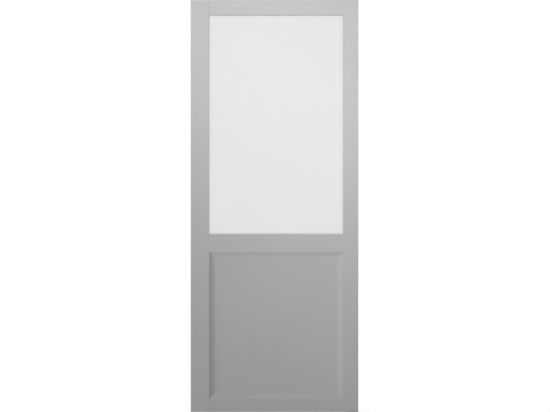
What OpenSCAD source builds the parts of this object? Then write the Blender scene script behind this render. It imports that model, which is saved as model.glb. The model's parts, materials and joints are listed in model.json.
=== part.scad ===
// Sliding door: a half-glazed painted leaf that hangs on trolleys in a wall-fixed top track.
// Millimetres. +Z is up, -Y is the front and +Y is the wall side.
// The origin lies on the floor under the floor guide, in the leaf's mid-plane, at mid-track.
// The leaf is drawn closed, at the left half of the track.

/* [Leaf] */
// Width of the leaf
leaf_w = 830; // [720:1:1100]
// Height of the leaf
leaf_h = 2040; // [1900:1:2300]
// Thickness of the leaf
leaf_t = 40; // [38:1:50]
// Gap between the floor and the leaf
floor_gap = 8; // [6:0.5:14]
// Radius of the outer edges along the leaf's two sides
side_arris = 2; // [0.5:0.5:3]
// Radius of the outer edges along the leaf's top and bottom
end_arris = 4; // [1:0.5:6]

/* [Stiles and rails] */
// Face width of the stile at the closing edge
closing_stile_w = 90; // [85:1:130]
// Face width of the stile at the trailing edge
trailing_stile_w = 74; // [70:1:130]
// Face height of the top rail
top_rail_h = 74; // [66:1:150]
// Face height of the middle rail
mid_rail_h = 89; // [70:1:160]
// Face height of the bottom rail
bottom_rail_h = 65; // [62:1:160]
// Diameter of the dowels in the stile and rail joints
dowel_d = 10; // [6:1:12]
// Length of the dowels
dowel_l = 76; // [40:1:90]
// Radial clearance of a dowel in its bore
dowel_clear = 0.1; // [0.05:0.05:0.3]
// Width of the shadow quirk where the top and bottom rails meet the closing stile
quirk_w = 1; // [0.5:0.1:2]
// Depth of that quirk
quirk_d = 1.5; // [0.5:0.1:3]

/* [Glazing] */
// Height of glass that shows between the top and middle rails
glass_sight_h = 1085; // [700:1:1200]
// Thickness of the glass pane
glass_t = 6; // [4:1:8]
// Thickness of the lip in front of the glass
glass_lip_t = 12; // [8:0.5:14]
// Width of the rebate that holds the glass edge
rebate_w = 12; // [10:0.5:16]
// Gap between the glass edge and the rebate, filled at the foot by setting blocks
glass_edge_gap = 3; // [2:0.5:4]
// Thickness of the seal tapes in front of and behind the glass
seal_t = 2; // [1:0.5:3]
// Width of the seal tapes
seal_w = 8; // [5:0.5:9]
// Chamfer along the glazing beads
bead_chamfer = 3; // [1:0.5:6]
// Length of each setting block
setting_block_l = 60; // [30:1:100]

/* [Lower panel] */
// Thickness of the panel
panel_t = 12; // [10:1:18]
// Depth of the groove that holds the panel
groove_d = 12; // [8:0.5:14]
// Clearance between the panel's faces and its groove
panel_clear = 0.15; // [0.05:0.05:0.4]
// Room for the panel to move at its sides and top
panel_room = 2; // [1:0.5:4]
// Width of the moulding
moulding_w = 34.5; // [26:0.5:40]
// Width of the flat along the moulding's outer edge
moulding_flat = 2.5; // [1:0.5:4]
// Depth of the step from that flat down to the hollow
moulding_quirk = 2; // [1:0.5:3]
// Steepest slope of the hollow, in degrees
moulding_slope = 27; // [22:1:32]
// Height of the moulding's inner edge over the panel
moulding_edge = 1; // [0.5:0.5:2]

/* [Hanging gear] */
// Distance of each hanger bolt from the inner edge of its stile
hanger_offset = 75; // [70:1:120]
// Gap between the leaf and the track
hang_gap = 14; // [10:0.5:20]
// Length of the hanger plates
hanger_plate_l = 80; // [70:1:100]
// Width of the hanger plates
hanger_plate_w = 24; // [22:1:28]
// Thickness of the hanger plates
hanger_plate_t = 4; // [3:0.5:6]
// Distance between a plate's screws along the leaf
hanger_screw_pitch_x = 56; // [40:1:60]
// Distance between a plate's screws across the leaf
hanger_screw_pitch_y = 12; // [8:0.5:14]
// Diameter of the hanger screws
hanger_screw_d = 4; // [3:0.5:5]
// Length of the hanger screws
hanger_screw_l = 35; // [20:1:45]
// Diameter of the hanger bolts
hanger_bolt_d = 8; // [6:1:10]
// Width across the flats of the hanger bolts' heads and nuts
hanger_hex_af = 13; // [10:0.5:15]
// Height of the hanger bolts' heads
hanger_head_h = 5.5; // [4:0.5:7]
// Height of the lock nuts
lock_nut_h = 6.5; // [4:0.5:8]

/* [Trolleys and wheels] */
// Length of a trolley
trolley_l = 84; // [80:1:110]
// Thickness of a trolley's side arms
trolley_t = 9; // [7:0.5:10]
// Height of a trolley
trolley_h = 16; // [12:0.5:18]
// Length of the block that takes the hanger bolt
trolley_block_l = 20; // [16:0.5:22]
// Width of that block
trolley_block_w = 20; // [16:0.5:24]
// Distance between a trolley's axles
axle_pitch = 46; // [46:0.5:60]
// Diameter of the axles
axle_d = 5; // [4:0.5:6]
// Diameter of the wheels
wheel_d = 22; // [18:0.5:22]
// Width of the wheels
wheel_w = 7; // [6:0.5:7.5]
// Distance of each wheel's middle from the track's middle
wheel_y = 9.5; // [9.5:0.1:10]
// Running gap between the wheels and the track
run_gap = 0.3; // [0.2:0.05:0.5]

/* [Track] */
// Length of track past the leaf at either end of its travel
track_overhang = 45; // [20:1:120]
// Wall of the track
track_wall = 2.5; // [2:0.1:3]
// Inside width of the track
track_in_w = 30; // [30:0.5:36]
// Inside height of the track
track_in_h = 25; // [24:0.5:32]
// Thickness of the running lips
lip_t = 3; // [2.5:0.1:4]
// Width of the slot between the lips
slot_w = 11; // [10:0.5:12]
// Radius of the beads that the wheels run on
rail_bead_r = 1.6; // [1.2:0.1:1.7]
// Height of those beads over the lips
rail_bead_h = 0.8; // [0.5:0.1:1]
// Inside width of the T-slot on top
tee_w = 14; // [12:0.5:16]
// Inside height of the T-slot
tee_h = 6; // [5:0.5:8]
// Width of the T-slot's mouth
tee_mouth_w = 8; // [7:0.5:9]
// Thickness of the end caps
cap_t = 2.5; // [1.5:0.1:4]
// Length of the end caps' plugs
cap_plug_l = 10; // [6:1:20]
// Clearance of the plugs in the track
cap_clear = 0.3; // [0.1:0.05:0.5]

/* [Wall brackets] */
// Gap between the leaf's back and the wall
wall_gap = 12; // [8:0.5:30]
// Width of a bracket along the track
bracket_w = 44; // [36:1:60]
// Thickness of the bracket's steel
bracket_t = 3; // [2:0.5:5]
// Inside radius of the bracket's bend
bracket_bend_r = 3; // [1:0.5:5]
// Height of the bracket's wall leg
bracket_leg_h = 42; // [32:1:60]
// Radius of the bracket's corners
bracket_corner_r = 6; // [1:0.5:9]
// Reach of the bracket past the track's middle
bracket_reach = 14; // [10:0.5:18]
// Distance of the end brackets from the track's ends
bracket_end = 90; // [40:1:150]
// Diameter of the wall screw holes
wall_hole_d = 6.5; // [4:0.5:8]
// Distance between a bracket's wall screw holes
wall_hole_pitch = 24; // [16:0.5:28]
// Height of the wall screw holes over the bracket's foot
wall_hole_z = 28; // [18:0.5:30]
// Diameter of the T-head bolts
tee_bolt_d = 6; // [5:0.5:7]
// Width across the flats of the T-head bolts' nuts
tee_nut_af = 10; // [9:0.5:12]
// Height of those nuts
tee_nut_h = 5; // [4:0.5:6]
// Height of the T heads
tee_head_h = 4.5; // [3:0.5:5]
// Length of the T heads along the track
tee_head_l = 10; // [8:0.5:20]

/* [End stops] */
// Length of a stop block
stop_l = 28; // [20:1:50]
// Width of a stop block
stop_w = 15; // [13:0.5:15.5]
// Height of a stop block
stop_h = 19; // [16:0.5:22]
// Chamfer along the top of a stop block
stop_edge = 1.5; // [0.5:0.1:3]
// Diameter of a stop's clamp screw
stop_screw_d = 6; // [4:0.5:8]
// Diameter of the rubber buffers
buffer_d = 12; // [8:0.5:14]
// Length of the rubber buffers
buffer_l = 8; // [4:0.5:15]
// Diameter of the buffers' stems
buffer_stem_d = 5; // [3:0.5:6]
// Length of the buffers' stems
buffer_stem_l = 8; // [4:0.5:10]
// Gap between a buffer and a trolley that has run up to it
buffer_gap = 0.3; // [0.2:0.05:1]

/* [Floor guide] */
// Distance from the leaf's end to the guide at either end of the travel
guide_margin = 35; // [30:1:80]
// Length of the guide's base
guide_base_l = 88; // [84:1:120]
// Width of the guide's base
guide_base_w = 40; // [24:1:60]
// Thickness of the guide's base
guide_base_t = 3; // [2:0.5:5]
// Length of the guide's fin
guide_fin_l = 48; // [30:1:50]
// Thickness of the guide's fin
guide_fin_t = 7; // [5:0.5:10]
// Height to which the fin reaches into the leaf
guide_fin_grip = 14; // [8:0.5:18]
// Chamfer along the top of the fin
guide_fin_edge = 1.5; // [0.5:0.1:2]
// Clearance at each side of the fin
guide_clear = 0.5; // [0.3:0.05:0.9]
// Depth of the groove in the leaf past the fin
guide_head_room = 4; // [2:0.5:8]
// Distance between the guide's screw holes
guide_hole_pitch = 68; // [64:1:100]
// Diameter of the guide's screw holes
guide_hole_d = 4.5; // [3:0.5:6]

/* [Hidden] */
$fn = 64;
// How far a cutting shape runs past the face that it cuts
over = 1;
// Radial clearance of bolts and screws in their holes
bolt_clear = 0.1;
// Radial clearance of the wheels on their axles
axle_clear = 0.05;
// Steps in a quarter of a rounded outline
round_steps = 5;

SIDES = ["left", "right", "top", "bottom"];
ENDS = ["left", "right"];
bracket_count = 4;
wheel_count = 8;

travel = leaf_w - 2 * guide_margin;
leaf_left = -(leaf_w + travel) / 2;
leaf_right = leaf_left + leaf_w;
leaf_bottom = floor_gap;
leaf_top = leaf_bottom + leaf_h;
face_y = leaf_t / 2;

open_left = leaf_left + closing_stile_w;
open_right = leaf_right - trailing_stile_w;
glass_top = leaf_top - top_rail_h;
glass_bottom = glass_top - glass_sight_h;
panel_top = glass_bottom - mid_rail_h;
panel_bottom = leaf_bottom + bottom_rail_h;

glass_cover = rebate_w - glass_edge_gap;
seal_front_y = glass_lip_t - face_y;
glass_front_y = seal_front_y + seal_t;
glass_back_y = glass_front_y + glass_t;
bead_y = glass_back_y + seal_t;
seal_butt = 0.3;

moulding_d = face_y - panel_t / 2;
guide_groove_w = guide_fin_t + 2 * guide_clear;
guide_groove_d = guide_fin_grip + guide_head_room;

hanger_x = [open_left + hanger_offset, open_right - hanger_offset];
hanger_plate_clear = 0.2;
hanger_pocket_d = 18;
hanger_pocket_h = hanger_head_h + 2.5;
hanger_plate_z = leaf_top - hanger_plate_t;
screw_head_d = 2 * hanger_screw_d;
screw_head_h = hanger_screw_d / 2;
screw_tip_h = 5;

track_l = leaf_w + travel + 2 * track_overhang;
track_w = track_in_w + 2 * track_wall;
tee_out_w = tee_w + 2 * track_wall;
track_z = leaf_top + hang_gap;
lip_z = track_z + lip_t;
tee_from = lip_t + track_in_h + track_wall;
track_h = tee_from + tee_h + track_wall;
track_top = track_z + track_h;
rail_bead_sink = rail_bead_r - rail_bead_h;

wheel_r = wheel_d / 2;
wheel_z = lip_z + run_gap + wheel_r;
wheel_hub_r = 4.5;
wheel_rim_r = wheel_r - 3;
wheel_recess = 1.5;
wheel_edge = 0.6;
wheel_hub_gap = 0.3;
wheel_hub_l = wheel_y - wheel_w / 2 - trolley_t / 2 - wheel_hub_gap;
axle_head_d = 7.5;
axle_head_l = 1;
axle_head_y = wheel_y + wheel_w / 2 + wheel_hub_gap;
bolt_tip_room = 2;

wall_y = face_y + wall_gap;
bracket_pitch = (track_l - 2 * bracket_end) / (bracket_count - 1);
bracket_bend_out = bracket_bend_r + bracket_t;
tee_bolt_tip = 3;
tee_clear = 0.3;

stop_slot_clear = 0.3;
stop_foot_h = lip_t - 1;
stop_screw_socket_d = 3.5;
stop_screw_socket_h = 4;

cap_bead_room = rail_bead_h + cap_clear;
guide_corner_r = 8;
guide_sink_d = 2 * guide_hole_d;
guide_sink_h = guide_hole_d / 2;

paint = "#b0b0ad";
satin_glass = "#e4e8e6";
black_rubber = "#2c2d2e";
pale_seal = "#d8d9d6";
bare_wood = "#c9a878";
zinc_steel = "#a9adb0";
aluminium = "#c2c5c7";
white_nylon = "#e6e4dc";
grey_nylon = "#7c7f82";

// Outlines and helpers

function round_rect(w, h, r) = [
  for (q = [[1, 1, 0], [-1, 1, 90], [-1, -1, 180], [1, -1, 270]])
    for (i = [0:round_steps])
      let (a = q[2] + 90 * i / round_steps)
        [q[0] * (w / 2 - r) + r * cos(a), q[1] * (h / 2 - r) + r * sin(a)]
];

function arc(centre, r, from, to) = [
  for (i = [0:round_steps])
    let (a = from + (to - from) * i / round_steps)
      centre + r * [cos(a), sin(a)]
];

function end_sign(end) = end == "left" ? -1 : 1;
function end_index(end) = end == "left" ? 0 : 1;
function bracket_x(i) = (i - 1) * bracket_pitch + bracket_end - track_l / 2;
function wheel_axle(i) = floor((i - 1) / 2);
function axle_x(k) = hanger_x[floor(k / 2)] + (k % 2 - 0.5) * axle_pitch;
function dowel_heights(low, high) = [for (share = [0.25, 0.75]) low + share * (high - low)];

module box(low, high) {
  translate(low)
    cube(high - low);
}

// What rounding takes off a square corner at the origin, on a piece that lies towards -X and -Y
module corner_waste(r, h) {
  linear_extrude(h, center = true)
    translate([-r, -r])
      difference() {
        square(r + over);
        circle(r);
      }
}

module along_x(length) {
  rotate([90, 0, 90])
    linear_extrude(length, center = true)
      children();
}

module hex_body(af, h) {
  corner_r = af / sqrt(3);
  chamfer_h = (corner_r - af / 2) * tan(30);
  intersection() {
    cylinder(r = corner_r, h = h, $fn = 6);
    rotate_extrude()
      polygon([
        [0, -over],
        [af / 2, -over],
        [af / 2, 0],
        [corner_r + over, chamfer_h + over * tan(30)],
        [corner_r + over, h - chamfer_h - over * tan(30)],
        [af / 2, h],
        [af / 2, h + over],
        [0, h + over]
      ]);
  }
}

// A bar with mitred ends along one side of an opening. Its section is drawn as inward, outward.
module mitred_bar(side, low, high, y, width, depth, section) {
  upright = side == "left" || side == "right";
  length = upright ? high[1] - low[1] : high[0] - low[0];
  start_x = side == "left" || side == "bottom" ? low[0] : high[0];
  start_z = side == "right" || side == "bottom" ? low[1] : high[1];
  turn = side == "bottom" ? 0 : side == "right" ? -90 : side == "top" ? 180 : 90;
  translate([start_x, y, start_z])
    rotate([0, turn, 0])
      rotate([90, 0, 0])
        intersection() {
          translate([length / 2, 0, 0])
            along_x(length + 2 * over)
              polygon(section);
          translate([0, 0, -over])
            linear_extrude(depth + 2 * over)
              polygon([
                [-over, -over],
                [length + over, -over],
                [length - width - over, width + over],
                [width + over, width + over]
              ]);
        }
}

// Leaf frame

module leaf_blank() {
  translate([(leaf_left + leaf_right) / 2, 0, (leaf_bottom + leaf_top) / 2])
    intersection() {
      linear_extrude(leaf_h + 2 * over, center = true)
        polygon(round_rect(leaf_w, leaf_t, side_arris));
      along_x(leaf_w + 2 * over)
        polygon(round_rect(leaf_t, leaf_h, end_arris));
    }
}

module member(x0, x1, z0, z1) {
  intersection() {
    leaf_blank();
    box([x0, -leaf_t, z0], [x1, leaf_t, z1]);
  }
}

module at_dowels() {
  heights = concat(
    dowel_heights(leaf_bottom + guide_groove_d, panel_bottom - groove_d),
    dowel_heights(panel_top + groove_d, glass_bottom - rebate_w),
    dowel_heights(glass_top + rebate_w, leaf_top)
  );
  for (x = [open_left, open_right])
    for (z = heights)
      translate([x, 0, z])
        rotate([0, 90, 0])
          children();
}

module dowel_bores() {
  at_dowels()
    cylinder(r = dowel_d / 2 + dowel_clear, h = dowel_l + 2 * over, center = true);
}

module glass_rebate() {
  box(
    [open_left - rebate_w, seal_front_y, glass_bottom - rebate_w],
    [open_right + rebate_w, face_y + over, glass_top + rebate_w]
  );
}

module panel_groove() {
  groove_y = panel_t / 2 + panel_clear;
  box(
    [open_left - groove_d, -groove_y, panel_bottom - groove_d],
    [open_right + groove_d, groove_y, panel_top + groove_d]
  );
}

module guide_groove() {
  box(
    [leaf_left - over, -guide_groove_w / 2, leaf_bottom - over],
    [leaf_right + over, guide_groove_w / 2, leaf_bottom + guide_groove_d]
  );
}

module joint_quirk() {
  box(
    [open_left - over, -face_y - over, leaf_bottom - over],
    [open_left + quirk_w, quirk_d - face_y, leaf_top + over]
  );
}

module stile(x0, x1) {
  color(paint)
    difference() {
      member(x0, x1, leaf_bottom - over, leaf_top + over);
      glass_rebate();
      panel_groove();
      guide_groove();
      dowel_bores();
    }
}

module closing_stile() {
  stile(leaf_left - over, open_left);
}

module trailing_stile() {
  stile(open_right, leaf_right + over);
}

module top_rail() {
  color(paint)
    difference() {
      member(open_left, open_right, glass_top, leaf_top + over);
      glass_rebate();
      joint_quirk();
      dowel_bores();
      for (x = hanger_x)
        translate([x, 0, leaf_top])
          hanger_pocket();
    }
}

module mid_rail() {
  color(paint)
    difference() {
      member(open_left, open_right, panel_top, glass_bottom);
      glass_rebate();
      panel_groove();
      dowel_bores();
    }
}

module bottom_rail() {
  color(paint)
    difference() {
      member(open_left, open_right, leaf_bottom - over, panel_bottom);
      panel_groove();
      guide_groove();
      joint_quirk();
      dowel_bores();
    }
}

module dowels() {
  chamfer = dowel_d / 8;
  color(bare_wood)
    at_dowels()
      rotate_extrude()
        polygon([
          [0, -dowel_l / 2],
          [dowel_d / 2 - chamfer, -dowel_l / 2],
          [dowel_d / 2, chamfer - dowel_l / 2],
          [dowel_d / 2, dowel_l / 2 - chamfer],
          [dowel_d / 2 - chamfer, dowel_l / 2],
          [0, dowel_l / 2]
        ]);
}

// Lower panel and its mouldings

module lower_panel() {
  tongue = groove_d - panel_room;
  color(paint)
    box(
      [open_left - tongue, -panel_t / 2, panel_bottom - groove_d],
      [open_right + tongue, panel_t / 2, panel_top + tongue]
    );
}

// Section of a moulding: a flat outer edge, a step and a hollow that runs down to a thin inner edge
function hollow_section(width, depth) =
  let (
    run = width - moulding_flat,
    fall = depth - moulding_quirk - moulding_edge,
    end_slope = 2 * atan2(fall, run) - moulding_slope,
    hollow_r = run / (sin(moulding_slope) - sin(end_slope)),
    centre = [width + hollow_r * sin(end_slope), moulding_edge + hollow_r * cos(end_slope)]
  )
  concat(
    [[0, 0], [width, 0]],
    arc(centre, hollow_r, 270 - end_slope, 270 - moulding_slope),
    [[moulding_flat, depth], [0, depth]]
  );

module front_moulding(side) {
  color(paint)
    mitred_bar(
      side,
      [open_left, panel_bottom],
      [open_right, panel_top],
      -panel_t / 2,
      moulding_w,
      moulding_d,
      hollow_section(moulding_w, moulding_d)
    );
}

module back_moulding(side) {
  mirror([0, 1, 0])
    front_moulding(side);
}

// Glass and what holds it

module glass_pane() {
  color(satin_glass, 0.8)
    box(
      [open_left - glass_cover, glass_front_y, glass_bottom - glass_cover],
      [open_right + glass_cover, glass_back_y, glass_top + glass_cover]
    );
}

module seal_tapes(y) {
  low = [open_left - glass_cover, glass_bottom - glass_cover];
  high = [open_right + glass_cover, glass_top + glass_cover];
  color(pale_seal) {
    for (x = [low[0], high[0] - seal_w])
      box([x, y, low[1]], [x + seal_w, y + seal_t, high[1]]);
    for (z = [low[1], high[1] - seal_w])
      box(
        [low[0] + seal_w + seal_butt, y, z],
        [high[0] - seal_w - seal_butt, y + seal_t, z + seal_w]
      );
  }
}

module front_glass_seal() {
  seal_tapes(seal_front_y);
}

module back_glass_seal() {
  seal_tapes(glass_back_y);
}

module setting_blocks() {
  quarter = (open_right - open_left) / 4;
  color(black_rubber)
    for (x = [open_left + quarter, open_right - quarter])
      box(
        [x - setting_block_l / 2, glass_front_y, glass_bottom - rebate_w],
        [x + setting_block_l / 2, glass_back_y, glass_bottom - glass_cover]
      );
}

module glazing_bead(side) {
  depth = face_y - bead_y;
  color(paint)
    mirror([0, 1, 0])
      mitred_bar(
        side,
        [open_left - rebate_w, glass_bottom - rebate_w],
        [open_right + rebate_w, glass_top + rebate_w],
        -bead_y,
        rebate_w,
        depth,
        [
          [0, 0],
          [rebate_w, 0],
          [rebate_w, depth - bead_chamfer],
          [rebate_w - bead_chamfer, depth],
          [0, depth]
        ]
      );
}

// Hangers

module at_plate_screws() {
  for (sx = [-1, 1])
    for (sy = [-1, 1])
      translate([sx * hanger_screw_pitch_x / 2, sy * hanger_screw_pitch_y / 2, 0])
        children();
}

// A countersunk screw with its head's top at zero, larger all round by a clearance
module screw_shape(clear) {
  head_r = screw_head_d / 2 + clear;
  shank_r = hanger_screw_d / 2 + clear;
  rotate_extrude()
    polygon([
      [0, 0],
      [head_r, 0],
      [shank_r, -screw_head_h],
      [shank_r, screw_tip_h - hanger_screw_l],
      [0, -hanger_screw_l - clear]
    ]);
}

module hanger_pocket() {
  translate([0, 0, -hanger_plate_t])
    linear_extrude(hanger_plate_t + over)
      polygon(plate_outline(hanger_plate_clear));
  translate([0, 0, -hanger_plate_t - hanger_pocket_h])
    cylinder(d = hanger_pocket_d, h = hanger_pocket_h + over);
  at_plate_screws()
    screw_shape(bolt_clear);
}

function plate_outline(clear) =
  round_rect(hanger_plate_l + 2 * clear, hanger_plate_w + 2 * clear, hanger_plate_w / 4 + clear);

module hanger_plate(end) {
  color(zinc_steel)
    translate([hanger_x[end_index(end)], 0, leaf_top])
      difference() {
        translate([0, 0, -hanger_plate_t])
          linear_extrude(hanger_plate_t)
            polygon(plate_outline(0));
        translate([0, 0, -hanger_plate_t - over])
          cylinder(r = hanger_bolt_d / 2 + bolt_clear, h = hanger_plate_t + 2 * over);
        at_plate_screws()
          screw_shape(bolt_clear);
      }
}

module hanger_screws() {
  color(zinc_steel)
    for (x = hanger_x)
      translate([x, 0, leaf_top])
        at_plate_screws()
          screw_shape(0);
}

module hanger_bolt(end) {
  tip_z = wheel_z + trolley_h / 2 - bolt_tip_room;
  color(zinc_steel)
    translate([hanger_x[end_index(end)], 0, hanger_plate_z]) {
      translate([0, 0, -hanger_head_h])
        hex_body(hanger_hex_af, hanger_head_h);
      translate([0, 0, -over])
        cylinder(d = hanger_bolt_d, h = tip_z - hanger_plate_z + over);
    }
}

module lock_nut(end) {
  color(zinc_steel)
    translate([hanger_x[end_index(end)], 0, leaf_top])
      difference() {
        hex_body(hanger_hex_af, lock_nut_h);
        translate([0, 0, -over])
          cylinder(r = hanger_bolt_d / 2 + bolt_clear, h = lock_nut_h + 2 * over);
      }
}

// Trolleys and wheels

module trolley(end) {
  color(zinc_steel)
    translate([hanger_x[end_index(end)], 0, wheel_z])
      difference() {
        union() {
          rotate([90, 0, 0])
            linear_extrude(trolley_t, center = true)
              polygon(round_rect(trolley_l, trolley_h, trolley_h / 4));
          linear_extrude(trolley_h, center = true)
            polygon(round_rect(trolley_block_l, trolley_block_w, trolley_block_w / 6));
        }
        cylinder(r = hanger_bolt_d / 2 + bolt_clear, h = trolley_h + 2 * over, center = true);
        for (side = [-1, 1])
          translate([side * axle_pitch / 2, 0, 0])
            rotate([90, 0, 0])
              cylinder(r = axle_d / 2 + axle_clear, h = trolley_t + 2 * over, center = true);
      }
}

module wheel_axles() {
  color(zinc_steel)
    for (k = [0:wheel_count / 2 - 1])
      translate([axle_x(k), 0, wheel_z])
        rotate([90, 0, 0]) {
          cylinder(d = axle_d, h = 2 * axle_head_y + over, center = true);
          for (side = [-1, 1])
            translate([0, 0, side * (axle_head_y + axle_head_l / 2)])
              cylinder(d = axle_head_d, h = axle_head_l, center = true);
        }
}

// Half-section of a wheel as radius, width. Its hub reaches towards the trolley.
module wheel_section() {
  half = wheel_w / 2;
  bore_r = axle_d / 2 + axle_clear;
  difference() {
    polygon([
      [bore_r, -half - wheel_hub_l],
      [wheel_hub_r, -half - wheel_hub_l],
      [wheel_hub_r, wheel_recess - half],
      [wheel_rim_r, wheel_recess - half],
      [wheel_rim_r, -half],
      [wheel_r - wheel_edge, -half],
      [wheel_r, wheel_edge - half],
      [wheel_r, half - wheel_edge],
      [wheel_r - wheel_edge, half],
      [wheel_rim_r, half],
      [wheel_rim_r, half - wheel_recess],
      [wheel_hub_r, half - wheel_recess],
      [wheel_hub_r, half],
      [bore_r, half]
    ]);
    translate([wheel_r + run_gap + rail_bead_sink, 0])
      circle(rail_bead_r + run_gap);
  }
}

module wheel(i) {
  color(white_nylon)
    translate([axle_x(wheel_axle(i)), 0, wheel_z])
      rotate([i % 2 == 1 ? 90 : -90, 0, 0])
        translate([0, 0, wheel_y])
          rotate_extrude()
            wheel_section();
}

// Track, its stops and caps

module track_outline() {
  translate([-track_w / 2, 0])
    square([track_w, tee_from]);
  translate([-tee_out_w / 2, 0])
    square([tee_out_w, track_h]);
}

module track_section() {
  difference() {
    track_outline();
    translate([-track_in_w / 2, lip_t])
      square([track_in_w, track_in_h]);
    translate([-slot_w / 2, -over])
      square([slot_w, lip_t + 2 * over]);
    translate([-tee_w / 2, tee_from])
      square([tee_w, tee_h]);
    translate([-tee_mouth_w / 2, tee_from + over])
      square([tee_mouth_w, tee_h + track_wall]);
  }
  for (side = [-1, 1])
    translate([side * wheel_y, lip_t - rail_bead_sink])
      circle(rail_bead_r);
}

module track() {
  color(aluminium)
    translate([0, 0, track_z])
      along_x(track_l)
        track_section();
}

module stop_section() {
  foot_y = slot_w / 2 - stop_slot_clear;
  polygon([
    [-foot_y, -stop_foot_h],
    [foot_y, -stop_foot_h],
    [foot_y, 0],
    [stop_w / 2, 0],
    [stop_w / 2, stop_h - stop_edge],
    [stop_w / 2 - stop_edge, stop_h],
    [stop_edge - stop_w / 2, stop_h],
    [-stop_w / 2, stop_h - stop_edge],
    [-stop_w / 2, 0],
    [-foot_y, 0]
  ]);
}

module end_stop(end) {
  color(zinc_steel)
    translate([stop_x(end), 0, lip_z])
      difference() {
        along_x(stop_l)
          stop_section();
        translate([0, 0, -stop_foot_h - over])
          cylinder(r = stop_screw_d / 2 + bolt_clear, h = stop_h + stop_foot_h + 2 * over);
        translate([0, 0, wheel_z - lip_z])
          rotate([0, -90 * end_sign(end), 0])
            translate([0, 0, stop_l / 2 - buffer_stem_l - over])
              cylinder(r = buffer_stem_d / 2 + bolt_clear, h = buffer_stem_l + 2 * over);
      }
}

function stop_x(end) =
  let (trolley_x = hanger_x[end_index(end)] + (end == "left" ? 0 : travel))
    trolley_x + end_sign(end) * (trolley_l / 2 + buffer_gap + buffer_l + stop_l / 2);

module stop_screws() {
  color(zinc_steel)
    for (end = ENDS)
      translate([stop_x(end), 0, lip_z - stop_foot_h])
        difference() {
          cylinder(d = stop_screw_d, h = track_in_h + stop_foot_h);
          translate([0, 0, -over])
            cylinder(d = stop_screw_socket_d, h = stop_screw_socket_h + over, $fn = 6);
        }
}

module buffer(end) {
  color(black_rubber)
    translate([stop_x(end) - end_sign(end) * stop_l / 2, 0, wheel_z])
      rotate([0, -90 * end_sign(end), 0]) {
        cylinder(d = buffer_d, h = buffer_l);
        translate([0, 0, -buffer_stem_l])
          cylinder(d = buffer_stem_d, h = buffer_stem_l + over);
      }
}

module track_cap(end) {
  color(grey_nylon)
    translate([end_sign(end) * track_l / 2, 0, track_z])
      rotate([0, 0, end == "left" ? 180 : 0]) {
        translate([cap_t / 2, 0, 0])
          along_x(cap_t)
            track_outline();
        box(
          [-cap_plug_l, cap_clear - track_in_w / 2, lip_t + cap_bead_room],
          [over, track_in_w / 2 - cap_clear, lip_t + track_in_h - cap_clear]
        );
      }
}

// Wall brackets

module wall_bracket(i) {
  bend = [wall_y - bracket_bend_out, bracket_bend_out];
  color(zinc_steel)
    translate([bracket_x(i), 0, track_top])
      difference() {
        along_x(bracket_w)
          polygon(concat(
            [[-bracket_reach, bracket_t], [-bracket_reach, 0]],
            arc(bend, bracket_bend_out, -90, 0),
            [[wall_y, bracket_leg_h], [wall_y - bracket_t, bracket_leg_h]],
            arc(bend, bracket_bend_r, 0, -90)
          ));
        translate([0, 0, -over])
          cylinder(r = tee_bolt_d / 2 + tee_clear, h = bracket_t + 2 * over);
        for (side = [-1, 1])
          translate([side * wall_hole_pitch / 2, wall_y + over, wall_hole_z])
            rotate([90, 0, 0])
              cylinder(d = wall_hole_d, h = bracket_t + 2 * over);
        for (side = [0, 1])
          mirror([side, 0, 0]) {
            translate([bracket_w / 2, wall_y, bracket_leg_h])
              rotate([90, 0, 0])
                corner_waste(bracket_corner_r, 2 * bracket_t + over);
            translate([bracket_w / 2, -bracket_reach, 0])
              mirror([0, 1, 0])
                corner_waste(bracket_corner_r, 2 * bracket_t + over);
          }
      }
}

module bracket_bolts() {
  shank_h = track_wall + bracket_t + tee_nut_h + tee_bolt_tip;
  color(zinc_steel)
    for (i = [1:bracket_count])
      translate([bracket_x(i), 0, track_top - track_wall]) {
        box(
          [-tee_head_l / 2, tee_clear - tee_w / 2, -tee_head_h],
          [tee_head_l / 2, tee_w / 2 - tee_clear, 0]
        );
        translate([0, 0, -over])
          cylinder(d = tee_bolt_d, h = shank_h + over);
      }
}

module bracket_nuts() {
  color(zinc_steel)
    for (i = [1:bracket_count])
      translate([bracket_x(i), 0, track_top + bracket_t])
        difference() {
          hex_body(tee_nut_af, tee_nut_h);
          translate([0, 0, -over])
            cylinder(r = tee_bolt_d / 2 + bolt_clear, h = tee_nut_h + 2 * over);
        }
}

// Floor guide

module guide_fin() {
  top = leaf_bottom + guide_fin_grip;
  side_y = guide_fin_t / 2 + over;
  intersection() {
    linear_extrude(top + over)
      polygon(round_rect(guide_fin_l, guide_fin_t, guide_fin_t / 2));
    along_x(guide_fin_l + 2 * over)
      polygon([
        [-side_y, 0],
        [side_y, 0],
        [side_y, top - guide_fin_edge - over],
        [side_y - guide_fin_edge - over, top],
        [guide_fin_edge + over - side_y, top],
        [-side_y, top - guide_fin_edge - over]
      ]);
  }
}

module floor_guide() {
  color(grey_nylon)
    difference() {
      union() {
        linear_extrude(guide_base_t)
          polygon(round_rect(guide_base_l, guide_base_w, guide_corner_r));
        guide_fin();
      }
      for (side = [-1, 1])
        translate([side * guide_hole_pitch / 2, 0, guide_base_t]) {
          translate([0, 0, -guide_base_t - over])
            cylinder(d = guide_hole_d, h = guide_base_t + 2 * over);
          translate([0, 0, -guide_sink_h])
            cylinder(d1 = guide_hole_d, d2 = guide_sink_d, h = guide_sink_h);
        }
    }
}

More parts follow.
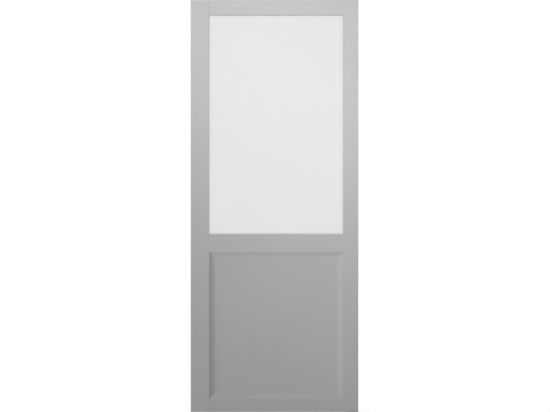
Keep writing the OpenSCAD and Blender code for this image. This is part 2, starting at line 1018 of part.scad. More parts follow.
closing_stile();
trailing_stile();
top_rail();
mid_rail();
bottom_rail();
lower_panel();
for (s = SIDES) front_moulding(s);
for (s = SIDES) back_moulding(s);
glass_pane();
front_glass_seal();
back_glass_seal();
setting_blocks();
for (s = SIDES) glazing_bead(s);
dowels();
hanger_screws();
wheel_axles();
for (e = ENDS) hanger_plate(e);
for (e = ENDS) hanger_bolt(e);
for (e = ENDS) lock_nut(e);
for (e = ENDS) trolley(e);
for (i = [1:wheel_count]) wheel(i);
track();
bracket_bolts();
bracket_nuts();
stop_screws();
floor_guide();
for (i = [1:bracket_count]) wall_bracket(i);
for (e = ENDS) end_stop(e);
for (e = ENDS) buffer(e);
for (e = ENDS) track_cap(e);
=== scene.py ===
import json
import math

import bmesh
import bpy
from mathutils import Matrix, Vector


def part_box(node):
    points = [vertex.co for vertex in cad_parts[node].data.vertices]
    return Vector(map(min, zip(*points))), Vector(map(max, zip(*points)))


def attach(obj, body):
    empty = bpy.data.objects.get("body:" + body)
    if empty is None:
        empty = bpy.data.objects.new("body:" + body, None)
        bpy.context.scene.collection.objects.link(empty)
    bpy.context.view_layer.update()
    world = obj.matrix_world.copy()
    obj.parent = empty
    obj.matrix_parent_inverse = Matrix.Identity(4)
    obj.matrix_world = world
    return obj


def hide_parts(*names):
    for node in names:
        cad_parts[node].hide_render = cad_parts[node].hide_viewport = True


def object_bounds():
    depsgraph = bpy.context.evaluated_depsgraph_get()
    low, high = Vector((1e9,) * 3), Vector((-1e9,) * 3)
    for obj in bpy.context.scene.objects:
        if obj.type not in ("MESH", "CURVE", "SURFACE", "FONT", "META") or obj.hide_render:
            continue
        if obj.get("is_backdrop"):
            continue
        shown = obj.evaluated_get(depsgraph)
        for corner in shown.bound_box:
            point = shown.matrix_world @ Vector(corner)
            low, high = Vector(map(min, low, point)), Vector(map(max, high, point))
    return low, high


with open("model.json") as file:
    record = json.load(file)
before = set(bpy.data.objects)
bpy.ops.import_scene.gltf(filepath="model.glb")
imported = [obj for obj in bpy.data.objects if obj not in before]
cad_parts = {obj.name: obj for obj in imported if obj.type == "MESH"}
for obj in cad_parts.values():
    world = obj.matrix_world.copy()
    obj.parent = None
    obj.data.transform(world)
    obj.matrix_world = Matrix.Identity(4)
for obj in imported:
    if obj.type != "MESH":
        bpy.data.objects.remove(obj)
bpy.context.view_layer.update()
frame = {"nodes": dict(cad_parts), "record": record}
nodes = frame["nodes"]
record = frame["record"]
slotOf = {row["node"]: row["material_slot"] for row in record["subparts"]}
bodyOf = {n: body for body, members in record["behaviour"]["bodies"].items() for n in members}
ends = ("left", "right")
sides = ("left", "right", "top", "bottom")
print("frame loaded with", len(nodes), "nodes")


# Shader helpers

def addNode(tree, kind, inputs=None, **settings):
    node = tree.nodes.new(kind)
    for name, value in settings.items():
        setattr(node, name, value)
    for key, value in (inputs or {}).items():
        if isinstance(value, bpy.types.NodeSocket):
            tree.links.new(value, node.inputs[key])
        else:
            node.inputs[key].default_value = value
    return node


def newGroup(name, takes, gives):
    tree = bpy.data.node_groups.new(name, "ShaderNodeTree")
    for label, kind in takes.items():
        tree.interface.new_socket(label, in_out="INPUT", socket_type=kind)
    for label, kind in gives.items():
        tree.interface.new_socket(label, in_out="OUTPUT", socket_type=kind)
    return tree, addNode(tree, "NodeGroupInput"), addNode(tree, "NodeGroupOutput")


def math2(tree, operation, a, b):
    return addNode(tree, "ShaderNodeMath", {0: a, 1: b}, operation=operation).outputs[0]


def mapped(tree, value, low, high, fromLow=0.3, fromHigh=0.7):  # noise sits mostly between these two
    ins = {"Value": value, "From Min": fromLow, "From Max": fromHigh, "To Min": low, "To Max": high}
    return addNode(tree, "ShaderNodeMapRange", ins).outputs["Result"]


def noise(tree, vector, scale, detail=2.0, rough=0.5):
    ins = {"Vector": vector, "Scale": scale, "Detail": detail, "Roughness": rough}
    return addNode(tree, "ShaderNodeTexNoise", ins).outputs["Fac"]


def blend(tree, factor, a, b):
    node = addNode(tree, "ShaderNodeMix", {"Factor": factor}, data_type="RGBA")
    for socket, value in ((node.inputs[6], a), (node.inputs[7], b)):  # the colour pair of a Mix node
        if isinstance(value, bpy.types.NodeSocket):
            tree.links.new(value, socket)
        else:
            socket.default_value = (*value, 1.0)
    return node.outputs[2]


def finishGroup(name):
    takes = {"Vector": "NodeSocketVector", "Stretch": "NodeSocketVector"}
    gives = {label: "NodeSocketFloat" for label in ("Tone", "Rough", "Height")}
    tree, start, end = newGroup(name, takes, gives)
    vector = start.outputs["Vector"]
    ins = {0: vector, 1: start.outputs["Stretch"]}
    stretched = addNode(tree, "ShaderNodeVectorMath", ins, operation="MULTIPLY").outputs[0]
    return tree, vector, stretched, end


def give(tree, end, values):
    for label, socket in values.items():
        tree.links.new(socket, end.inputs[label])


paintTexture = {
    "grainDetail": 4.0, "grainRough": 0.6, "peelScale": 420.0, "driftScale": 2.3, "driftDetail": 3.0,
    "driftTone": (0.15, 0.85), "grainTone": (-0.15, 0.15), "halfRough": (0.0, 0.5),
    "peelHeight": 0.55, "grainHeight": 0.45,
}


def paintGroup():
    tree, vector, stretched, end = finishGroup("paintFinish")
    grain = noise(tree, stretched, 1.0, paintTexture["grainDetail"], paintTexture["grainRough"])
    peel = noise(tree, vector, paintTexture["peelScale"])
    drift = noise(tree, vector, paintTexture["driftScale"], paintTexture["driftDetail"])
    driftTone = mapped(tree, drift, *paintTexture["driftTone"])
    grainTone = mapped(tree, grain, *paintTexture["grainTone"])
    peelRough = mapped(tree, peel, *paintTexture["halfRough"])
    driftRough = mapped(tree, drift, *paintTexture["halfRough"])
    peelHeight = math2(tree, "MULTIPLY", peel, paintTexture["peelHeight"])
    grainHeight = math2(tree, "MULTIPLY", grain, paintTexture["grainHeight"])
    give(tree, end, {
        "Tone": math2(tree, "ADD", driftTone, grainTone),
        "Rough": math2(tree, "ADD", peelRough, driftRough),
        "Height": math2(tree, "ADD", peelHeight, grainHeight),
    })
    return tree


metalTexture = {
    "lineDetail": 5.0, "lineRough": 0.65, "cloudScale": 38.0, "cloudDetail": 4.0,
    "major": (0.0, 0.6), "minor": (0.0, 0.4),
}


def metalGroup():
    tree, vector, stretched, end = finishGroup("metalFinish")
    lines = noise(tree, stretched, 1.0, metalTexture["lineDetail"], metalTexture["lineRough"])
    cloud = noise(tree, vector, metalTexture["cloudScale"], metalTexture["cloudDetail"])
    cloudTone = mapped(tree, cloud, *metalTexture["major"])
    lineTone = mapped(tree, lines, *metalTexture["minor"])
    lineRough = mapped(tree, lines, *metalTexture["major"])
    cloudRough = mapped(tree, cloud, *metalTexture["minor"])
    give(tree, end, {
        "Tone": math2(tree, "ADD", cloudTone, lineTone),
        "Rough": math2(tree, "ADD", lineRough, cloudRough),
        "Height": lines,
    })
    return tree


dustTexture = {
    "levelFrom": 0.75, "levelTo": 0.98, "patchScale": 55.0, "patchDetail": 4.0, "patchRough": 0.6,
    "patches": (0.15, 0.9), "colour": (0.42, 0.41, 0.38),
}


def dustGroup():
    tree, start, end = newGroup("settledDust", {"Vector": "NodeSocketVector"}, {"Mask": "NodeSocketFloat"})
    normal = addNode(tree, "ShaderNodeNewGeometry").outputs["Normal"]
    up = addNode(tree, "ShaderNodeSeparateXYZ", {0: normal}).outputs["Z"]
    level = mapped(tree, up, 0.0, 1.0, dustTexture["levelFrom"], dustTexture["levelTo"])
    grain = (dustTexture["patchScale"], dustTexture["patchDetail"], dustTexture["patchRough"])
    speck = noise(tree, start.outputs["Vector"], *grain)
    patchy = mapped(tree, speck, *dustTexture["patches"])
    give(tree, end, {"Mask": math2(tree, "MULTIPLY", level, patchy)})
    return tree


groups = {"paint": paintGroup(), "metal": metalGroup(), "dust": dustGroup()}


def finish(name, look, groupName):
    material = bpy.data.materials.new(name)
    material.use_nodes = True
    tree = material.node_tree
    surface = tree.nodes["Principled BSDF"]
    coords = addNode(tree, "ShaderNodeTexCoord").outputs["Object"]
    ins = {"Vector": coords, "Stretch": look["stretch"]}
    group = addNode(tree, "ShaderNodeGroup", ins, node_tree=groups[groupName])
    colour = blend(tree, group.outputs["Tone"], look["colour"], look["colour2"])
    if "dust" in look:
        dust = addNode(tree, "ShaderNodeGroup", {"Vector": coords}, node_tree=groups["dust"])
        settled = math2(tree, "MULTIPLY", dust.outputs["Mask"], look["dust"])
        colour = blend(tree, settled, colour, dustTexture["colour"])
    tree.links.new(colour, surface.inputs["Base Color"])
    rough = mapped(tree, group.outputs["Rough"], *look["rough"], 0.0, 1.0)
    tree.links.new(rough, surface.inputs["Roughness"])
    ins = {"Strength": look["bump"], "Distance": look["depth"], "Height": group.outputs["Height"]}
    bump = addNode(tree, "ShaderNodeBump", ins)
    tree.links.new(bump.outputs["Normal"], surface.inputs["Normal"])
    for key, value in look.get("surface", {}).items():
        surface.inputs[key].default_value = value
    return material


# Materials

paintLook = {
    "colour": (0.406, 0.404, 0.402), "colour2": (0.426, 0.424, 0.422),
    "rough": (0.40, 0.50), "bump": 0.10, "depth": 0.0004, "dust": 0.25,
    "surface": {"Specular IOR Level": 0.4},
}
grains = {"upright": (170.0, 170.0, 5.0), "across": (5.0, 170.0, 170.0), "board": (60.0, 60.0, 60.0)}
paints = {key: finish("satinPaint_" + key, {**paintLook, "stretch": stretch}, "paint")
          for key, stretch in grains.items()}
glassLook = {
    "colour": (0.728, 0.729, 0.728), "colour2": (0.756, 0.757, 0.756), "stretch": (900.0, 900.0, 900.0),
    "rough": (0.44, 0.51), "bump": 0.06, "depth": 0.0002,
    "surface": {"Transmission Weight": 1.0, "IOR": 1.5, "Specular IOR Level": 0.2},
}
rubberLook = {
    "colour": (0.022, 0.022, 0.024), "colour2": (0.034, 0.034, 0.035), "stretch": (700.0, 700.0, 700.0),
    "rough": (0.65, 0.82), "bump": 0.25, "depth": 0.0003, "dust": 0.3,
}
sealLook = {
    "colour": (0.64, 0.65, 0.63), "colour2": (0.70, 0.71, 0.69), "stretch": (700.0, 700.0, 700.0),
    "rough": (0.55, 0.72), "bump": 0.2, "depth": 0.0003,
}
dowelLook = {
    "colour": (0.50, 0.33, 0.16), "colour2": (0.64, 0.46, 0.25), "stretch": (9.0, 420.0, 420.0),
    "rough": (0.55, 0.75), "bump": 0.3, "depth": 0.0004,
}
zincLook = {
    "colour": (0.29, 0.302, 0.315), "colour2": (0.375, 0.375, 0.362), "stretch": (260.0, 260.0, 260.0),
    "rough": (0.58, 0.70), "bump": 0.10, "depth": 0.0002, "dust": 0.35, "surface": {"Metallic": 1.0},
}
trackLook = {
    "colour": (0.35, 0.355, 0.365), "colour2": (0.42, 0.425, 0.435), "stretch": (3.0, 950.0, 950.0),
    "rough": (0.62, 0.74), "bump": 0.12, "depth": 0.0002, "dust": 0.35, "surface": {"Metallic": 1.0},
}
greyNylonLook = {
    "colour": (0.18, 0.19, 0.20), "colour2": (0.225, 0.235, 0.245), "stretch": (1100.0, 1100.0, 1100.0),
    "rough": (0.44, 0.60), "bump": 0.22, "depth": 0.0003, "dust": 0.4,
}
whiteNylonLook = {
    "colour": (0.76, 0.735, 0.65), "colour2": (0.82, 0.80, 0.73), "stretch": (500.0, 900.0, 500.0),
    "rough": (0.32, 0.48), "bump": 0.12, "depth": 0.0002,
}
finishes = {
    "satin_paint": paints["board"],
    "satin_glass": finish("satinGlass", glassLook, "paint"),
    "pale_seal": finish("paleSeal", sealLook, "paint"),
    "black_rubber": finish("blackRubber", rubberLook, "paint"),
    "bare_wood": finish("beechDowel", dowelLook, "paint"),
    "zinc_steel": finish("zincSteel", zincLook, "metal"),
    "track_aluminium": finish("trackAluminium", trackLook, "metal"),
    "grey_nylon": finish("greyNylon", greyNylonLook, "paint"),
    "white_nylon": finish("whiteNylon", whiteNylonLook, "paint"),
}
upright = {"closing_stile", "trailing_stile"}
across = {"top_rail", "mid_rail", "bottom_rail"}
for bar in ("front_moulding_", "back_moulding_", "glazing_bead_"):
    upright |= {bar + side for side in ends}
    across |= {bar + side for side in sides if side not in ends}


def materialFor(node):
    if node in upright:
        return paints["upright"]
    if node in across:
        return paints["across"]
    return finishes[slotOf[node]]


for name, node in nodes.items():
    node.data.materials.clear()
    node.data.materials.append(materialFor(name))
print("materials made:", len(bpy.data.materials))


# Pieces that stand for CAD nodes, with the small edge radii of the real thing

def place(name, mesh, body):
    piece = bpy.data.objects.new(name, mesh)
    bpy.context.scene.collection.objects.link(piece)
    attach(piece, body)
    return piece


softEdge = {
    "merge": 0.000005, "flat": math.radians(0.6), "corner": math.radians(38), "crease": math.radians(40),
    "segments": 2, "roundness": 0.5,
}


def fine(nodeName, shape):
    mesh = bpy.data.meshes.new(nodeName + "Soft")
    shape.to_mesh(mesh)
    shape.free()
    for face in mesh.polygons:
        face.use_smooth = True
    mesh.set_sharp_from_angle(angle=softEdge["crease"])
    mesh.materials.append(materialFor(nodeName))
    holder = bpy.data.objects.new(nodeName + "Holder", mesh)
    bpy.context.scene.collection.objects.link(holder)
    weigh = holder.modifiers.new("weigh", "WEIGHTED_NORMAL")
    weigh.keep_sharp = True
    graph = bpy.context.evaluated_depsgraph_get()
    shaded = bpy.data.meshes.new_from_object(holder.evaluated_get(graph), depsgraph=graph)
    bpy.data.objects.remove(holder)
    shaded.name = nodeName + "Shaded"
    piece = place(nodeName + "Fine", shaded, bodyOf[nodeName])
    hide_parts(nodeName)


def softened(nodeName, radius):
    shape = bmesh.new()
    shape.from_mesh(nodes[nodeName].data)
    bmesh.ops.remove_doubles(shape, verts=shape.verts, dist=softEdge["merge"])
    bmesh.ops.dissolve_limit(shape, angle_limit=softEdge["flat"], verts=shape.verts, edges=shape.edges)
    outer = [e for e in shape.edges if e.is_manifold and e.is_convex]
    sharp = [e for e in outer if e.calc_face_angle() > softEdge["corner"]]
    bmesh.ops.bevel(
        shape, geom=sharp, offset=radius, offset_type="OFFSET", segments=softEdge["segments"],
        profile=softEdge["roundness"], affect="EDGES", clamp_overlap=True,
    )
    fine(nodeName, shape)


bracketCount = 4
woodNames = ["closing_stile", "trailing_stile", "top_rail", "mid_rail", "bottom_rail"]
woodNames += ["glazing_bead_" + side for side in sides]
steelNames = [part + end for part in ("trolley_", "hanger_plate_", "end_stop_") for end in ends]
steelNames += ["wall_bracket_" + str(i + 1) for i in range(bracketCount)]
softSets = (  # names and the radius of their edges
    (woodNames, 0.0004),
    (steelNames, 0.0005),
    (["track"], 0.0003),
    (["floor_guide", "track_cap_left", "track_cap_right"], 0.0006),
    (["buffer_left", "buffer_right"], 0.0010),
)
for names, radius in softSets:
    for name in names:
        softened(name, radius)
print("softened pieces:", sum(len(names) for names, radius in softSets))


# Panel mouldings, with a hollow that runs out level with the panel

cove = {"flat": 0.0025, "step": 0.002, "edge": 0.00015, "round": 0.0004, "roundSteps": 3, "arcSteps": 16}


def coveSection(width, depth):  # across the moulding from its outer edge, and up from the panel
    run = width - cove["flat"]
    turn = 2 * math.atan2(depth - cove["step"] - cove["edge"], run)
    radius = run / math.sin(turn)
    section = [(0.0, 0.0), (width, 0.0)]
    for k in range(cove["arcSteps"] + 1):
        angle = turn * k / cove["arcSteps"]
        section.append((width - radius * math.sin(angle), cove["edge"] + radius * (1 - math.cos(angle))))
    small = cove["round"]
    for middle, first in ((cove["flat"] - small, 0.0), (small, math.pi / 2)):
        for k in range(cove["roundSteps"] + 1):
            angle = first + math.pi / 2 * k / cove["roundSteps"]
            section.append((middle + small * math.cos(angle), depth - small + small * math.sin(angle)))
    return section


def coved(nodeName, side, outward):
    low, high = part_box(nodeName)
    panelFace = low.y if outward > 0 else high.y
    width = high.x - low.x if side in ends else high.z - low.z
    shape = bmesh.new()
    loops = ([], [])
    for inset, up in coveSection(width, high.y - low.y):
        y = panelFace + outward * up
        if side in ends:
            x = low.x + inset if side == "left" else high.x - inset
            pair = ((x, y, low.z + inset), (x, y, high.z - inset))
        else:
            z = low.z + inset if side == "bottom" else high.z - inset
            pair = ((low.x + inset, y, z), (high.x - inset, y, z))
        for loop, point in zip(loops, pair):
            loop.append(shape.verts.new(point))
    first, second = loops
    for i in range(len(first)):
        shape.faces.new((first[i - 1], first[i], second[i], second[i - 1]))
    shape.faces.new(first)
    shape.faces.new(second)
    bmesh.ops.recalc_face_normals(shape, faces=shape.faces)
    fine(nodeName, shape)


for bar, outward in (("front_moulding_", -1), ("back_moulding_", 1)):
    for side in sides:
        coved(bar + side, side, outward)
print("mouldings coved:", 2 * len(sides))


# Geometry Nodes: what repeats

def newTree(name, takes):
    tree = bpy.data.node_groups.new(name, "GeometryNodeTree")
    tree.interface.new_socket("Seed", in_out="INPUT", socket_type="NodeSocketGeometry")
    for label, kind in takes.items():
        tree.interface.new_socket(label, in_out="INPUT", socket_type=kind)
    tree.interface.new_socket("Result", in_out="OUTPUT", socket_type="NodeSocketGeometry")
    return tree, addNode(tree, "NodeGroupInput").outputs, addNode(tree, "NodeGroupOutput").inputs


def closeTree(tree, points, shape, rotation, material, result):
    spread = addNode(tree, "GeometryNodeInstanceOnPoints", {"Points": points, "Instance": shape})
    if rotation:
        tree.links.new(rotation, spread.inputs["Rotation"])
    real = addNode(tree, "GeometryNodeRealizeInstances", {"Geometry": spread.outputs[0]})
    done = addNode(tree, "GeometryNodeSetMaterial", {"Geometry": real.outputs[0], "Material": material})
    tree.links.new(done.outputs[0], result["Result"])


def grow(name, tree, seed, values, body):
    holder = bpy.data.objects.new(name + "Seed", seed)
    bpy.context.scene.collection.objects.link(holder)
    modifier = holder.modifiers.new("grow", "NODES")
    modifier.node_group = tree
    for item in tree.interface.items_tree:
        if item.in_out == "INPUT" and item.name in values:
            modifier[item.identifier] = values[item.name]
    holder.update_tag()
    graph = bpy.context.evaluated_depsgraph_get()
    mesh = bpy.data.meshes.new_from_object(holder.evaluated_get(graph), depsgraph=graph)
    bpy.data.objects.remove(holder)
    mesh.name = name + "Mesh"
    return place(name, mesh, body)


def pointMesh(name, points, edges=()):
    mesh = bpy.data.meshes.new(name)
    mesh.from_pydata([tuple(p) for p in points], list(edges), [])
    return mesh


threadSteps = {"round": 28, "ridge": 4}


def threadTree():
    takes = {label: "NodeSocketFloat" for label in ("Pitch", "Length", "Radius", "Ridge")}
    takes["Material"] = "NodeSocketMaterial"
    tree, given, result = newTree("threadCoil", takes)
    turns = math2(tree, "DIVIDE", given["Length"], given["Pitch"])
    coil = addNode(tree, "GeometryNodeCurveSpiral", {
        "Resolution": threadSteps["round"], "Rotations": turns, "Start Radius": given["Radius"],
        "End Radius": given["Radius"], "Height": given["Length"],
    })
    ins = {"Resolution": threadSteps["ridge"], "Radius": given["Ridge"]}
    ridge = addNode(tree, "GeometryNodeCurvePrimitiveCircle", ins)
    ins = {"Curve": coil.outputs[0], "Profile Curve": ridge.outputs[0], "Fill Caps": True}
    body = addNode(tree, "GeometryNodeCurveToMesh", ins)
    closeTree(tree, given["Seed"], body.outputs[0], None, given["Material"], result)
    return tree


def solidBoxes(node):  # the lowest and highest corner of each separate solid of a node
    shape = bmesh.new()
    shape.from_mesh(nodes[node].data)
    bmesh.ops.remove_doubles(shape, verts=shape.verts, dist=softEdge["merge"])
    boxes = []
    seen = set()
    for first in shape.verts:
        if first in seen:
            continue
        seen.add(first)
        queue = [first]
        island = []
        while queue:
            vert = queue.pop()
            island.append(vert.co.copy())
            for edge in vert.link_edges:
                other = edge.other_vert(vert)
                if other not in seen:
                    seen.add(other)
                    queue.append(other)
        low = Vector(min(c[k] for c in island) for k in range(3))
        high = Vector(max(c[k] for c in island) for k in range(3))
        boxes.append((low, high))
    shape.free()
    return boxes


coils = threadTree()
hangerThread = {"Pitch": 0.00125, "Radius": 0.0039, "Ridge": 0.00042, "Material": finishes["zinc_steel"]}
hangerPoints = []
for end in ends:
    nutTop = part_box("lock_nut_" + end)[1].z
    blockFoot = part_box("trolley_" + end)[0].z
    boltLow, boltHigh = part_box("hanger_bolt_" + end)
    middle = (boltLow + boltHigh) / 2
    hangerPoints.append((middle.x, middle.y, nutTop))
hangerThread["Length"] = blockFoot - nutTop
grow("hangerThreads", coils, pointMesh("hangerPoints", hangerPoints), hangerThread, "leaf")

teeThread = {"Pitch": 0.001, "Radius": 0.0029, "Ridge": 0.00034, "Material": finishes["zinc_steel"]}
threadShort = 0.0004  # the thread ends this far under the bolt's end
teeNutTop = solidBoxes("bracket_nuts")[0][1].z
teeBolts = solidBoxes("bracket_bolts")
teeThread["Length"] = teeBolts[0][1].z - teeNutTop - threadShort
teePoints = [((low.x + high.x) / 2, (low.y + high.y) / 2, teeNutTop) for low, high in teeBolts]
grow("bracketThreads", coils, pointMesh("teePoints", teePoints), teeThread, "head")


screw = {
    "headRadius": 0.004, "headHeight": 0.002, "shankRadius": 0.002, "length": 0.035, "tip": 0.005,
    "tipRadius": 0.0004, "recess": 0.0016, "recessTaper": 0.62, "arm": 0.0021, "armHalf": 0.0005,
    "count": 40, "spin": 6.283, "spinSeed": 4,
}


def screwMesh():
    shape = bmesh.new()
    count = screw["count"]
    turn = [2 * math.pi * i / count for i in range(count)]
    rings = (
        (screw["headRadius"], 0.0), (screw["shankRadius"], -screw["headHeight"]),
        (screw["shankRadius"], -screw["length"] + screw["tip"]), (screw["tipRadius"], -screw["length"]),
    )
    loops = []
    for radius, z in rings:
        loops.append([shape.verts.new((radius * math.cos(a), radius * math.sin(a), z)) for a in turn])
    for upper, lower in zip(loops, loops[1:]):
        for i in range(count):
            j = (i + 1) % count
            shape.faces.new((upper[j], upper[i], lower[i], lower[j]))
    shape.faces.new(list(reversed(loops[-1])))
    arm = screw["arm"]
    half = screw["armHalf"]
    quarter = [(arm, half), (half, half), (half, arm)]
    cross = quarter + [(-y, x) for x, y in quarter]
    cross += [(-x, -y) for x, y in cross]
    taper = screw["recessTaper"]
    rim = [shape.verts.new((x, y, 0.0)) for x, y in cross]
    foot = [shape.verts.new((x * taper, y * taper, -screw["recess"])) for x, y in cross]
    for i in range(len(cross)):
        j = (i + 1) % len(cross)
        shape.faces.new((rim[i], rim[j], foot[j], foot[i]))
    shape.faces.new(foot)
    faceEdges = []
    for loop in (loops[0], rim):
        faceEdges += [shape.edges.get((loop[i], loop[(i + 1) % len(loop)])) for i in range(len(loop))]
    bmesh.ops.triangle_fill(shape, use_beauty=True, use_dissolve=False, edges=faceEdges)
    bmesh.ops.recalc_face_normals(shape, faces=shape.faces)
    mesh = bpy.data.meshes.new("screwShape")
    shape.to_mesh(mesh)
    shape.free()
    return mesh


def screwTree():
    takes = {"Screw": "NodeSocketObject", "Material": "NodeSocketMaterial"}
    tree, given, result = newTree("turnedScrews", takes)
    shape = addNode(tree, "GeometryNodeObjectInfo", {"Object": given["Screw"]})
    ins = {0: (0.0, 0.0, 0.0), 1: (0.0, 0.0, screw["spin"]), "Seed": screw["spinSeed"]}
    turn = addNode(tree, "FunctionNodeRandomValue", ins, data_type="FLOAT_VECTOR")
    spin = addNode(tree, "FunctionNodeEulerToRotation", {0: turn.outputs[0]})
    closeTree(tree, given["Seed"], shape.outputs["Geometry"], spin.outputs[0], given["Material"], result)
    return tree


screwObject = bpy.data.objects.new("screwPattern", screwMesh())
screwBoxes = solidBoxes("hanger_screws")
screwPoints = [((low.x + high.x) / 2, (low.y + high.y) / 2, high.z) for low, high in screwBoxes]
screws = grow("hangerScrewHeads", screwTree(), pointMesh("screwPoints", screwPoints),
              {"Screw": screwObject, "Material": finishes["zinc_steel"]}, "leaf")
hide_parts("hanger_screws")


pinRow = {"edge": 0.0045, "end": 0.05, "segments": 20, "rings": 10}  # in from the bead's edge and its end


def pinTree():
    takes = {label: "NodeSocketFloat" for label in ("Spacing", "Radius", "Dome")}
    takes["Material"] = "NodeSocketMaterial"
    tree, given, result = newTree("beadPins", takes)
    path = addNode(tree, "GeometryNodeMeshToCurve", {"Mesh": given["Seed"]})
    ins = {"Curve": path.outputs[0], "Length": given["Spacing"]}
    spaced = addNode(tree, "GeometryNodeResampleCurve", ins, mode="LENGTH")
    ins = {"Segments": pinRow["segments"], "Rings": pinRow["rings"], "Radius": given["Radius"]}
    ball = addNode(tree, "GeometryNodeMeshUVSphere", ins)
    size = addNode(tree, "ShaderNodeCombineXYZ", {"X": 1.0, "Y": given["Dome"], "Z": 1.0})
    flat = addNode(tree, "GeometryNodeTransform", {"Geometry": ball.outputs[0], "Scale": size.outputs[0]})
    smooth = addNode(tree, "GeometryNodeSetShadeSmooth", {"Geometry": flat.outputs[0]})
    closeTree(tree, spaced.outputs[0], smooth.outputs[0], None, given["Material"], result)
    return tree


pins = {"Spacing": 0.16, "Radius": 0.0011, "Dome": 0.09, "Material": paints["upright"]}
pinEdge = pinRow["edge"]
pinEnd = pinRow["end"]
pinPath = []
pinLinks = []
for side in sides:
    low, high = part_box("glazing_bead_" + side)
    back = high.y
    if side in ends:
        x = low.x + pinEdge if side == "left" else high.x - pinEdge
        line = [(x, back, low.z + pinEnd), (x, back, high.z - pinEnd)]
    else:
        z = low.z + pinEdge if side == "bottom" else high.z - pinEdge
        line = [(low.x + pinEnd, back, z), (high.x - pinEnd, back, z)]
    pinLinks.append((len(pinPath), len(pinPath) + 1))
    pinPath += line
grow("glazingPins", pinTree(), pointMesh("pinPath", pinPath, pinLinks), pins, "leaf")
print("repeated pieces grown")


# Floor, world, light and camera

def strengthFor(tree, seen, mirrored, spread):  # one strength to the camera, one in gloss, one as light
    path = addNode(tree, "ShaderNodeLightPath")
    direct = math2(tree, "MAXIMUM", path.outputs["Is Camera Ray"], path.outputs["Is Transmission Ray"])
    soft = mapped(tree, path.outputs["Is Glossy Ray"], spread, mirrored, 0.0, 1.0)
    ins = {"Factor": direct, "A": soft, "B": seen}
    return addNode(tree, "ShaderNodeMix", ins, data_type="FLOAT").outputs["Result"]


stageLook = {
    "floorSize": 40.0, "floorColour": (0.68, 0.68, 0.68, 1.0), "floorRough": 0.9, "floorShine": 0.1,
    "white": (1.0, 1.0, 1.0, 1.0),
    "backdrop": (1.0, 0.45, 0.06), "floorGlow": (0.56, 0.25, 0.0),  # as seen, in gloss and as light
    "nearGlow": 0.93, "nearFrom": 0.8, "nearTo": 3.2,  # share of the glow by the door, and where it ends
}
half = stageLook["floorSize"] / 2
floorCorners = [(-half, -half, 0), (half, -half, 0), (half, half, 0), (-half, half, 0)]
floorMesh = bpy.data.meshes.new("floorMesh")
floorMesh.from_pydata(floorCorners, [], [(0, 1, 2, 3)])
floor = bpy.data.objects.new("floor", floorMesh)
bpy.context.scene.collection.objects.link(floor)
floorPaint = bpy.data.materials.new("paleFloor")
floorPaint.use_nodes = True
floorTree = floorPaint.node_tree
floorSurface = floorTree.nodes["Principled BSDF"]
floorSurface.inputs["Base Color"].default_value = stageLook["floorColour"]
floorSurface.inputs["Roughness"].default_value = stageLook["floorRough"]
floorSurface.inputs["Specular IOR Level"].default_value = stageLook["floorShine"]
floorSurface.inputs["Emission Color"].default_value = stageLook["white"]
floorPlace = addNode(floorTree, "ShaderNodeTexCoord").outputs["Object"]
away = addNode(floorTree, "ShaderNodeVectorMath", {0: floorPlace}, operation="LENGTH").outputs["Value"]
share = mapped(floorTree, away, stageLook["nearGlow"], 1.0, stageLook["nearFrom"], stageLook["nearTo"])
glow = math2(floorTree, "MULTIPLY", strengthFor(floorTree, *stageLook["floorGlow"]), share)
floorTree.links.new(glow, floorSurface.inputs["Emission Strength"])
floorMesh.materials.append(floorPaint)
floor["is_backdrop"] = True

world = bpy.data.worlds.new("studio")
bpy.context.scene.world = world
world.use_nodes = True
sky = world.node_tree
backdrop = sky.nodes["Background"]
backdrop.inputs["Color"].default_value = stageLook["white"]
sky.links.new(strengthFor(sky, *stageLook["backdrop"]), backdrop.inputs["Strength"])

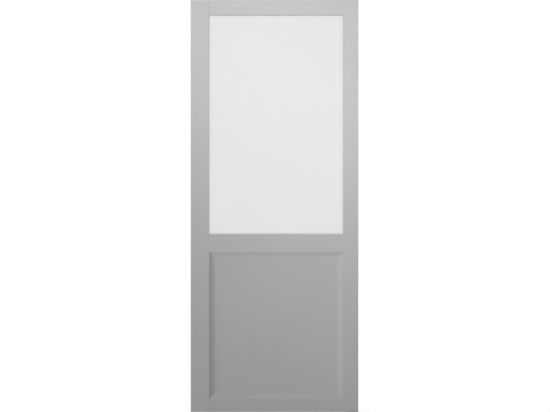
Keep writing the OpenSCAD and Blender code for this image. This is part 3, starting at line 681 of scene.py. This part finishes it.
leafLow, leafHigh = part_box("closing_stile")
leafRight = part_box("trailing_stile")[1].x
leafMiddle = Vector(((leafLow.x + leafRight) / 2, leafLow.y, (leafLow.z + leafHigh.z) / 2))
lights = {  # places and aims are from the middle of the leaf's face; a lamp with no size is a distant one
    "overhead": {"at": (0.0, -0.4, 10.0), "aim": (0, 0, 0), "angle": 20, "power": 1.75},
    "frontLeft": {"at": (-3.4, -9.4, 0.0), "aim": (0, 0, 0), "angle": 30, "power": 1.57},
    "sideLeft": {"at": (-9.06, -4.2, 0.0), "aim": (0, 0, 0), "angle": 30, "power": 1.28},
    "upperLeft": {
        "at": (-0.4, -2.6, 1.08), "aim": (-0.4, 0, 1.08), "size": (1.0, 1.0), "angle": 60, "power": 2.12,
    },
    "upperRight": {
        "at": (0.4, -2.6, 0.66), "aim": (0.4, 0, 0.66), "size": (1.0, 1.0), "angle": 60, "power": 2.7,
    },
    "midRight": {
        "at": (0.7, -2.6, -0.15), "aim": (0.6, 0, -0.15), "size": (1.2, 1.2), "angle": 60, "power": 0.8,
    },
    "backLeft": {"at": (-3.2, 2.6, 0.9), "aim": (0, 0, 0), "size": (1.4, 1.4), "angle": 50, "power": 5.0},
    "backRight": {"at": (3.4, 2.4, 0.2), "aim": (0.2, 0, 0), "size": (1.2, 1.6), "angle": 50, "power": 3.0},
}
for name, lamp in lights.items():
    data = bpy.data.lights.new(name, "AREA" if "size" in lamp else "SUN")
    if "size" in lamp:
        data.shape = "RECTANGLE"
        data.size, data.size_y = lamp["size"]
        data.spread = math.radians(lamp["angle"])
    else:
        data.angle = math.radians(lamp["angle"])
    data.energy = lamp["power"]
    lampObject = bpy.data.objects.new(name, data)
    lampObject.location = leafMiddle + Vector(lamp["at"])
    toward = leafMiddle + Vector(lamp["aim"]) - lampObject.location
    lampObject.rotation_euler = toward.to_track_quat("-Z", "Y").to_euler()
    lampObject.visible_camera = False
    lampObject.visible_transmission = False  # else the lamps show as glare in the satin glass
    bpy.context.scene.collection.objects.link(lampObject)

shot = {"distance": 12.0, "pixel": 0.004951, "aside": 0.5, "pixelsWide": 550, "sensor": 36.0}
cameraData = bpy.data.cameras.new("camera")
cameraData.sensor_width = shot["sensor"]
cameraData.lens = shot["sensor"] * shot["distance"] / (shot["pixel"] * shot["pixelsWide"])
camera = bpy.data.objects.new("camera", cameraData)
camera.location = leafMiddle + Vector((shot["aside"] * shot["pixel"], -shot["distance"], 0.0))
camera.rotation_euler = (math.pi / 2, 0.0, 0.0)
bpy.context.scene.collection.objects.link(camera)
bpy.context.scene.camera = camera
bpy.context.scene.view_settings.view_transform = "Standard"
print("stage set")

low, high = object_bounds()
